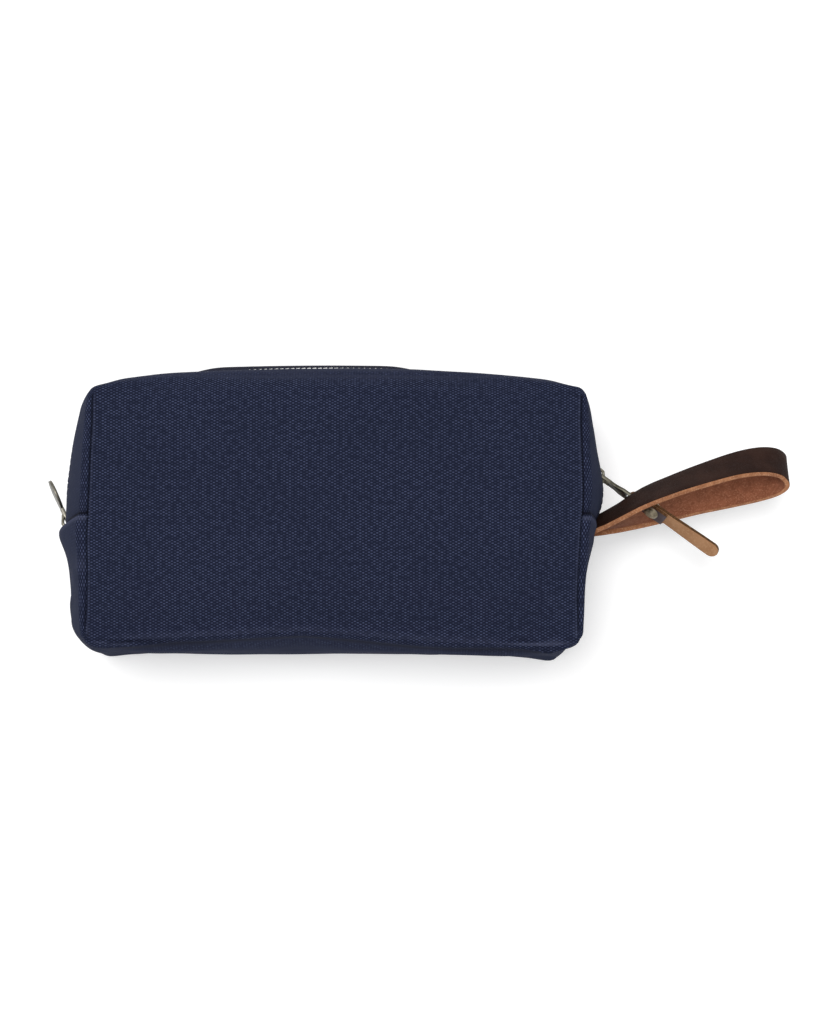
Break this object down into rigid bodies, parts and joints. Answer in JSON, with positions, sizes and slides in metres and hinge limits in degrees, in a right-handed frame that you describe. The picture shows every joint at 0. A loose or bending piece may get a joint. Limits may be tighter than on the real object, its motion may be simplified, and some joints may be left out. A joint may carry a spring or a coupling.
{
  "type": "shaving kit bag",
  "caption": "Boxy canvas shaving kit bag with a zip over the top, oval and leather-tabbed zip pulls and a leather wrist loop on one end.",
  "frame": {"origin": "middle of the back panel's flat resting face, where the bag lies on a table", "axes": "+X along the bag towards the wrist loop, +Y up the bag towards the zip, +Z out of the front panel"},
  "size_m": [0.363, 0.146, 0.1019],
  "materials": {
    "canvas": "navy duck canvas, heavy plain weave",
    "lining": "plain cotton twill, matt",
    "zip_tape": "near-black navy woven tape",
    "zip_teeth": "dull antique metal teeth",
    "binding": "folded cotton binding",
    "slider_brass": "antique brass, darkened in the hollows",
    "pull_brass": "antique brass, rubbed pale on its edges",
    "rivet_brass": "antique brass cap, rubbed rim",
    "tab_leather": "waxed brown grain with a tan flesh side",
    "strap_leather": "dark brown waxed grain, tan raw edges and red-brown flesh side"
  },
  "bodies": {
    "bag": {"front_panel": "canvas", "back_panel": "canvas", "front_lining": "lining", "back_lining": "lining", "front_zip_tape": "zip_tape", "back_zip_tape": "zip_tape", "front_teeth": "zip_teeth", "back_teeth": "zip_teeth", "left_seam_binding": "binding", "right_seam_binding": "binding", "bottom_seam_binding": "binding"},
    "right_slider": {"right_slider_body": "slider_brass", "right_slider_bridge": "slider_brass"},
    "right_pull": {"right_pull": "pull_brass"},
    "leather_tab": {"leather_tab": "tab_leather", "rivet_cap": "rivet_brass", "rivet_post": "rivet_brass"},
    "left_slider": {"left_slider_body": "slider_brass", "left_slider_bridge": "slider_brass"},
    "left_pull": {"left_pull": "pull_brass"},
    "wrist_loop": {"wrist_loop": "strap_leather"}
  },
  "joints": [
    {"name": "right_slider_travel", "type": "slide", "parent": "bag", "child": "right_slider", "axis": [-0.1019, 0.9948, 0], "range_m": [-0.003, 0.014]},
    {"name": "right_pull_swing", "type": "hinge", "parent": "right_slider", "child": "right_pull", "pos_m": [0.12964, 0.01904, 0.05], "axis": [0, 0, 1], "range_deg": [-6, 85]},
    {"name": "leather_tab_swing", "type": "hinge", "parent": "right_pull", "child": "leather_tab", "pos_m": [0.14623, 0.00742, 0.05], "axis": [0.1581, 0.2258, 0.9613], "range_deg": [-8, 10]},
    {"name": "left_slider_travel", "type": "slide", "parent": "bag", "child": "left_slider", "axis": [0.0366, 0.9993, 0], "range_m": [0, 0.01]},
    {"name": "left_pull_swing", "type": "hinge", "parent": "left_slider", "child": "left_pull", "pos_m": [-0.13132, -0.00245, 0.05], "axis": [0, 0, 1], "range_deg": [-10, 98]},
    {"name": "wrist_loop_swing", "type": "hinge", "parent": "bag", "child": "wrist_loop", "pos_m": [0.1312, -0.0071, 0.05], "axis": [0, 0, 1], "range_deg": [-16, 10]}
  ]
}
